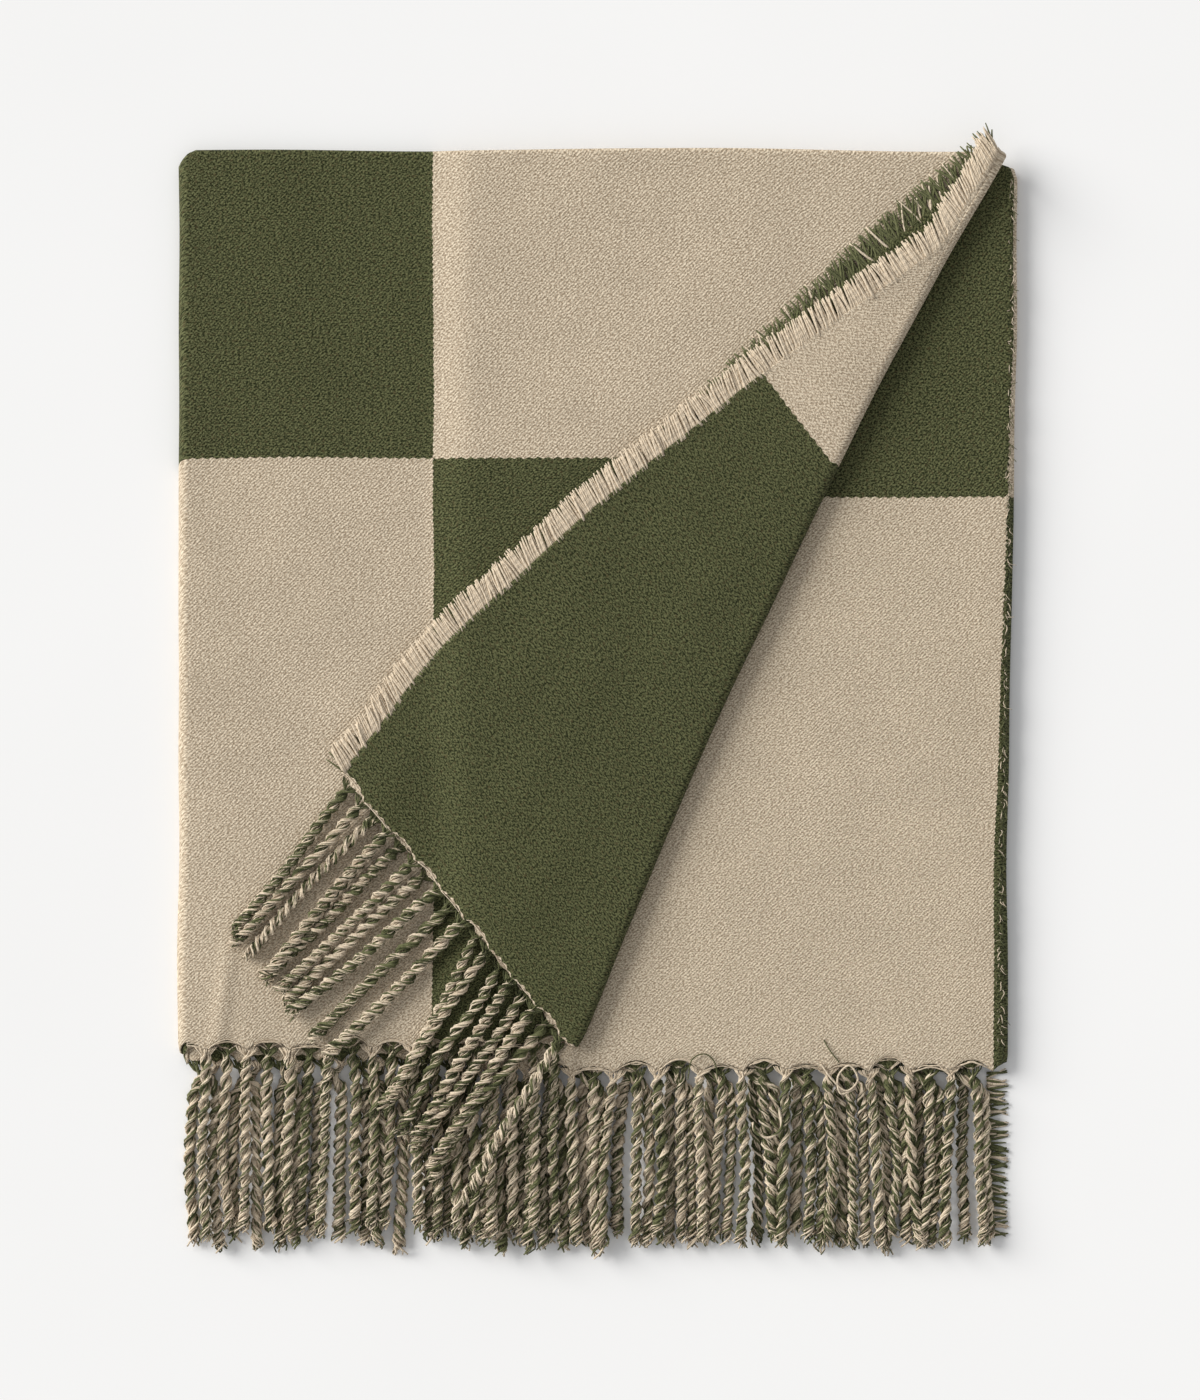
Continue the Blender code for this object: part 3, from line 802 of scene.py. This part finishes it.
def yarn_material():
    """Twisted wool-like yarn, green or beige by the yarn it is on."""
    n = Nodes("yarn")
    uv = n.add("ShaderNodeUVMap", {}, uv_map="Weave")
    green = n.add("ShaderNodeAttribute", {}, output=2, attribute_name="green")
    vary = n.add("ShaderNodeAttribute", {}, output=2, attribute_name="vary")
    split = n.tree.nodes.new("ShaderNodeSeparateXYZ")
    n.put(uv, split.inputs[0])
    twist = n.math("MULTIPLY_ADD", split.outputs[0], 240.0, n.math("MULTIPLY", split.outputs[1], 2.0))
    lay = n.math("PINGPONG", twist, 0.5)
    away = n.math("MULTIPLY", vary, 31.0)
    where = n.add("ShaderNodeCombineXYZ", {0: split.outputs[0], 1: away, 2: away})
    speck = n.noise(n.scaled(where, 1300, 1, 1), 1.0, 2, 0.6)
    band = n.noise(n.scaled(where, 130, 1, 1), 1.0, 2, 0.5)
    around = n.math("MULTIPLY_ADD", split.outputs[0], 95.0, n.math("MULTIPLY", split.outputs[1], 2.0))
    part = n.math("MULTIPLY", n.math("PINGPONG", around, 1.0), 0.75)
    part = n.math("ADD", part, n.math("MULTIPLY", band, 0.25))
    blend = n.ramp(n.math("SUBTRACT", green, part), -0.07, 0.07)
    light = n.ramp(n.math("ADD", speck, n.math("MULTIPLY_ADD", vary, 0.5, -0.15)), 0.2, 0.8)
    dark = n.mix(light, GREEN_DARK, GREEN_LIGHT)
    pale = n.mix(light, BEIGE_DARK, BEIGE_LIGHT)
    pale = n.mix(n.math("MULTIPLY", vary, 0.25), pale, BEIGE_PINK)
    colour = n.mix(blend, pale, dark)
    height = n.math("MULTIPLY_ADD", lay, 1.2, speck)
    return n.surface(base_color=colour, normal=n.bump(height, 0.0004, 0.7), roughness=0.9,
                     specular_ior_level=0.2, sheen_weight=0.04, sheen_roughness=0.5)


def floor_material():
    """Matt white paper with a very faint grain."""
    n = Nodes("floor")
    spot = n.add("ShaderNodeTexCoord", {}, output=3)
    grain = n.noise(spot, 3.0, 2)
    colour = n.mix(grain, (0.905, 0.905, 0.905, 1), (0.945, 0.945, 0.945, 1))
    return n.surface(base_color=colour, roughness=0.95, specular_ior_level=0.1)


SIDE_A = cloth_material("cloth_side_a", False)
SIDE_B = cloth_material("cloth_side_b", True)
YARN = yarn_material()


# ---------------------------------------------------------------- pieces

V = leaf_rows(LEAF_ROWS)
sheets = {"back": build_back(V), "inner": build_inner(V),
          "front": build_front(V), "corner": build_corner(V)}
cloth = {key: skins("cloth_" + key, item["mid"], item["uv"], (SIDE_A, SIDE_B),
                    edge_thickness(len(item["x"]), V))
         for key, item in sheets.items()}

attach(cloth["back"], "folded_stack")
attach(cloth["inner"], "folded_stack")
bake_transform(cloth["front"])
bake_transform(cloth["corner"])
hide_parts("back_outer_leaf", "back_inner_leaf", "back_top_fold")
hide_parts("inner_lower_leaf", "inner_upper_leaf", "inner_top_fold",
            "right_fold_inner", "right_fold_outer")
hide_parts("left_fold_inner", "left_fold_outer", "front_lower_leaf",
            "front_upper_leaf", "front_top_fold")
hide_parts("crease_fold_inner", "crease_fold_outer",
            "corner_lower_leaf", "corner_upper_leaf")

# The rows at the last row of their sheet's points; the others are at the first
FAR_ENDS = ("fringe_back_inner", "fringe_inner_lower", "fringe_front_lower",
            "fringe_corner_upper")

# Centre lines of the inner and front panels' tassels, which the back panel's lie between
lying = []


def level_height(level):
    """Height of a row of tassels that lies on the rows below it."""
    def height(x, y):
        drop = -2 * ROW_RISE * (1 - smooth_step(x, STEP_START, STEP_END))
        return ROW_HEIGHT + ROW_RISE * level + (drop if level > 3 else 0 * x)
    return height


def on_front(rise):
    """Height over the front panel, where the corner's tassels lie."""
    def height(x, y):
        return CREASE_Z - 0.0002 + rise + front_drop(x) + FRONT_SHARE * bumps(x, y)
    return height


def fringe_row(name, level, nodes, body, yarns):
    """One row of tassels along a fringed end of one sheet."""
    rng = np.random.default_rng(SEED + level)
    sheet = name.split("_")[1]
    end = -1 if name in FAR_ENDS else 0
    first, pitch, count = tassel_row(sheet, end)
    roots = edge_points(sheets[sheet], end, first + pitch * np.arange(count))
    tilt = rng.normal(0, 0.022, count)
    base, heights = DOWN, level_height(level)
    if sheet == "corner":
        share = np.linspace(0, 1, count)
        tilt += np.interp(share, FAN_PLACES, FAN_TILTS)
        base, heights = TURNED, on_front(CORNER_LIFT[end])
    directions = np.stack([base[0] * np.cos(tilt) - base[1] * np.sin(tilt),
                           base[0] * np.sin(tilt) + base[1] * np.cos(tilt)], 1)
    roots[:, :2] -= ROOT_INSET * directions
    roots[:, 2] -= ROOT_SINK
    lengths = TASSEL - TIP_MARGIN + rng.normal(0, 0.0030, count)
    lengths = lengths + {"inner": -INNER_SLIP, "corner": CORNER_EXTRA}.get(sheet, 0)

    gaps = None
    if sheet == "back":
        gaps = gap_lines(np.concatenate(lying), 2 * count)[(0 if end == 0 else 1)::2]
    lines = tassel_lines(roots, directions, lengths, heights, rng, gaps)
    if sheet in ("inner", "front"):
        lying.append(lines)

    def opposite(spots):
        """How likely a tassel here is to be laid the other way round."""
        return 0.08 + 0.35 * (spots[:, 0] > INNER_EDGE + 0.12)

    def root_green(spots):
        """How green a tassel's root is, by the colour block that it leaves."""
        beige = (spots[:, 0] > STEP_START) == (sheet == "inner")
        beige = beige & (end == 0) & (sheet != "corner")
        return np.where(beige, -0.2, 1.2)

    piece = fringe(name, lines, directions, lengths, yarns, opposite, root_green, rng)
    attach(piece, body)
    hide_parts(*nodes)
    return piece


def weft_arcs(name, ends, body):
    """Thin weft yarns that droop along the cloth's end between its tassels."""
    rng = np.random.default_rng(SEED + len(name))
    share = np.linspace(0, 1, 14)
    paths = []
    for sheet, end in ends:
        first, pitch, count = tassel_row(sheet, end)
        outward = TURNED if sheet == "corner" else DOWN
        for k in range(-1, count):
            for strand in range(1 if sheet == "corner" else 3):
                reach = first + pitch * (k + 0.5 + (share - 0.5) * rng.uniform(0.45, 0.95))
                path = edge_points(sheets[sheet], end, reach)
                sag = rng.uniform(-0.2, 1.0) * 0.0016 * np.sin(math.pi * share)
                sag = sag + rng.normal(0, 0.0004) * np.sin(3 * math.pi * share)
                path[:, :2] += (0.0002 + 0.0006 * strand + sag)[:, None] * outward
                path[:, 2] += 0.0003 + rng.normal(0, 0.0002)
                paths.append(path)
    paths = np.array(paths)
    radii = rng.uniform(0.00030, 0.00055, (len(paths), 1)) + 0 * share
    values = {"green": np.full((1, 1), -0.2), "vary": rng.random((len(paths), 1))}
    piece = tubes(name, paths, radii, 4, values, YARN)
    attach(piece, body)
    return piece


fringes = {
    "inner": [fringe_row("fringe_inner_lower", 2, ["inner_lower_fringe"], "folded_stack", 18),
              fringe_row("fringe_inner_upper", 3, ["inner_upper_fringe"], "folded_stack", 22),
              weft_arcs("weft_inner", [("inner", 0), ("inner", -1)], "folded_stack")],
    "front": [fringe_row("fringe_front_lower", 4, ["front_lower_fringe"], "front_panel", 18),
              fringe_row("fringe_front_upper", 5, ["front_upper_fringe"], "front_panel", 22),
              weft_arcs("weft_front", [("front", 0), ("front", -1)], "front_panel")],
    "back": [fringe_row("fringe_back_outer", 0, ["back_outer_fringe"], "folded_stack", 16),
             fringe_row("fringe_back_inner", 1, ["back_inner_fringe"], "folded_stack", 16)],
    "corner": [fringe_row("fringe_corner_lower", 6, ["corner_lower_fringe"],
                          "turned_corner", 18),
               fringe_row("fringe_corner_upper", 7, corner_tassels, "turned_corner", 22),
               weft_arcs("weft_corner", [("corner", 0), ("corner", -1)], "turned_corner")],
}


def edge_strands(name, node, body, seed, line, outward, spacing, length, green, clump):
    """Short weft ends along a woven edge, given as a line of points; clump bunches them."""
    rng = np.random.default_rng(seed)
    run = np.concatenate([[0], np.cumsum(np.linalg.norm(np.diff(line, axis=0), axis=1))])
    places = np.arange(0.002, run[-1] - 0.001, spacing)
    places = places + rng.normal(0, spacing * 0.25, len(places))
    starts = np.stack([np.interp(places, run, line[:, k]) for k in range(3)], 1)
    angle = outward + rng.normal(0, 0.07, len(places))
    angle = angle + clump * np.sin(places / 0.0013 + 3 * np.sin(places / 0.0171))
    angle = angle + 0.12 * np.sin(places / 0.013 + 2 * np.sin(places / 0.031))
    directions = np.stack([np.cos(angle), np.sin(angle)], 1)
    starts[:, :2] -= 0.003 * directions
    starts[:, 2] += rng.normal(0, 0.0004, len(places))
    lengths = length * rng.uniform(0.88, 1.08, len(places))
    piece = strands(name, starts, directions, lengths, radius=0.00098, green=green,
                    curl=0.0010, rise=0.0012, seed=seed)
    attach(piece, body)
    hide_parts(node)
    return piece


half = len(V) // 2
corner_mid, inner_mid = sheets["corner"]["mid"], sheets["inner"]["mid"]
LASH_TURN = math.radians(118)
trim_low, trim_high = box("lower_right_woven_edge")
trim_x, trim_z = trim_low[0] + 0.001, (trim_low[2] + trim_high[2]) / 2
trim_line = np.linspace([trim_x, trim_low[1], trim_z], [trim_x, trim_high[1], trim_z], 30)
woven_edges = {
    "corner": [edge_strands("woven_edge_corner_lower", "corner_lower_eyelash", "turned_corner",
                            61, corner_mid[-1, :half], LASH_TURN,
                            spacing=0.0009, length=0.0225, green=0.90, clump=0.50),
               edge_strands("woven_edge_corner_upper", "corner_upper_eyelash", "turned_corner",
                            62, corner_mid[-1, :half:-1], LASH_TURN,
                            spacing=0.0008, length=0.0205, green=0.0, clump=0.07)],
    "inner": [edge_strands("woven_edge_inner_lower", "inner_lower_eyelash", "folded_stack",
                           63, inner_mid[0, half + 1:], math.pi,
                           spacing=0.0030, length=0.017, green=0.5, clump=0.2),
              edge_strands("woven_edge_inner_upper", "inner_upper_eyelash", "folded_stack",
                           64, inner_mid[0, :half], math.pi,
                           spacing=0.0030, length=0.017, green=0.5, clump=0.2)],
    "back": [edge_strands("woven_edge_lower_right", "lower_right_woven_edge", "folded_stack",
                          65, trim_line, -0.1,
                          spacing=0.0013, length=0.015, green=0.75, clump=0.3)],
}


def fold_fuzz():
    """Short raised fibres along the top of the right side fold."""
    rng = np.random.default_rng(SEED + 70)
    y = np.linspace(BACK_TOP - 0.012, BACK_BOTTOM + 0.012, 40)
    line = np.stack([RIGHT - 0.0035 + 0 * y, y, STACK_TOP - 0.0004 + 0 * y], 1)
    line = lie(line, 0.5)
    between = np.linspace(0, 1, 9)[:-1, None]
    starts = (line[:-1, None] + between * np.diff(line, axis=0)[:, None]).reshape(-1, 3)
    angle = -math.pi / 2 + rng.normal(0, 0.5, len(starts))
    directions = np.stack([np.cos(angle), np.sin(angle)], 1)
    starts[:, 0] += rng.normal(0, 0.0012, len(starts))
    lengths = rng.uniform(0.002, 0.007, len(starts))
    piece = strands("fold_fuzz", starts, directions, lengths, radius=0.00030, green=0.55,
                    curl=0.0012, rise=0.0008, seed=SEED + 71)
    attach(piece, "folded_stack")
    return piece


def loose_thread(name, start, path, radius, green):
    """A stray thread on the inner panel; start is from the panel's lower open corner, in mm."""
    corner = np.array([INNER_EDGE, BACK_BOTTOM, STACK_TOP + 0.0012])
    points = corner + 0.001 * (np.array([*start, 0.0]) + np.array(path, float))
    piece = thread(name, points, radius, green)
    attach(piece, "folded_stack")
    return piece


woven_edges["inner"] += [
    fold_fuzz(),
    loose_thread("thread_arc", (150, -14.5),
                 [(0, 0, 0), (3, 14, 1), (12, 18, 1), (19, 12, 0), (21, 0, 0)], 0.00045, 1.2),
    loose_thread("thread_short", (246, 13.5),
                 [(0, 0, 0), (4, -7, 1), (11, -16, 0)], 0.00045, 1.2),
    loose_thread("thread_tangle", (244, -3.5),
                 [(0, 0, 0), (8, -11, 1), (18, -19, 1), (26, -11, 2), (20, -1, 2),
                  (12, -9, 1), (14, -21, 1), (25, -17, 0)], 0.00070, -0.2),
    loose_thread("thread_loop", (214, -34.5),
                 [(0, 0, 0), (2, -14, 1), (-7, -21, 2), (-16, -17, 2), (-18, -10, 1)],
                 0.00110, 0.5)]


# ------------------------------------------------------------ the setting

REACH = 20
corners = [(-REACH, -REACH, 0), (REACH, -REACH, 0), (REACH, REACH, 0), (-REACH, REACH, 0)]
floor_mesh = bpy.data.meshes.new("floor")
floor_mesh.from_pydata(corners, [], [(0, 1, 2, 3)])
floor = bpy.data.objects.new("floor", floor_mesh)
bpy.context.scene.collection.objects.link(floor)
floor.data.materials.append(floor_material())

world = bpy.data.worlds.new("studio")
bpy.context.scene.world = world
world.use_nodes = True
sky = world.node_tree.nodes["Background"]
sky.inputs["Color"].default_value = (0.985, 0.992, 1.0, 1)
sky.inputs["Strength"].default_value = 0.46

key_light = bpy.data.lights.new("key", "SUN")
key_light.angle = math.radians(36)
key_light.energy = 3.90
key_light.color = (1.0, 0.985, 0.96)
key_lamp = bpy.data.objects.new("key", key_light)
key_place = Vector((-6.60, 3.10, 3.50))
key_lamp.location = key_place
key_lamp.rotation_euler = (-key_place).to_track_quat("-Z", "Y").to_euler()
bpy.context.scene.collection.objects.link(key_lamp)

# The camera looks straight down; the blanket fills most of the picture's height
VIEW_LENGTH = 3.0
VIEW_HEIGHT = 1.2717 * (cad_box[1][1] - cad_box[0][1])
SENSOR = 24
camera_data = bpy.data.cameras.new("camera")
camera_data.sensor_fit = "VERTICAL"
camera_data.sensor_height = SENSOR
camera_data.lens = SENSOR * VIEW_LENGTH / VIEW_HEIGHT
camera = bpy.data.objects.new("camera", camera_data)
camera.location = (0.002, 0.0, VIEW_LENGTH + 0.015)
bpy.context.scene.collection.objects.link(camera)
bpy.context.scene.camera = camera
bpy.context.scene.view_settings.view_transform = "Standard"
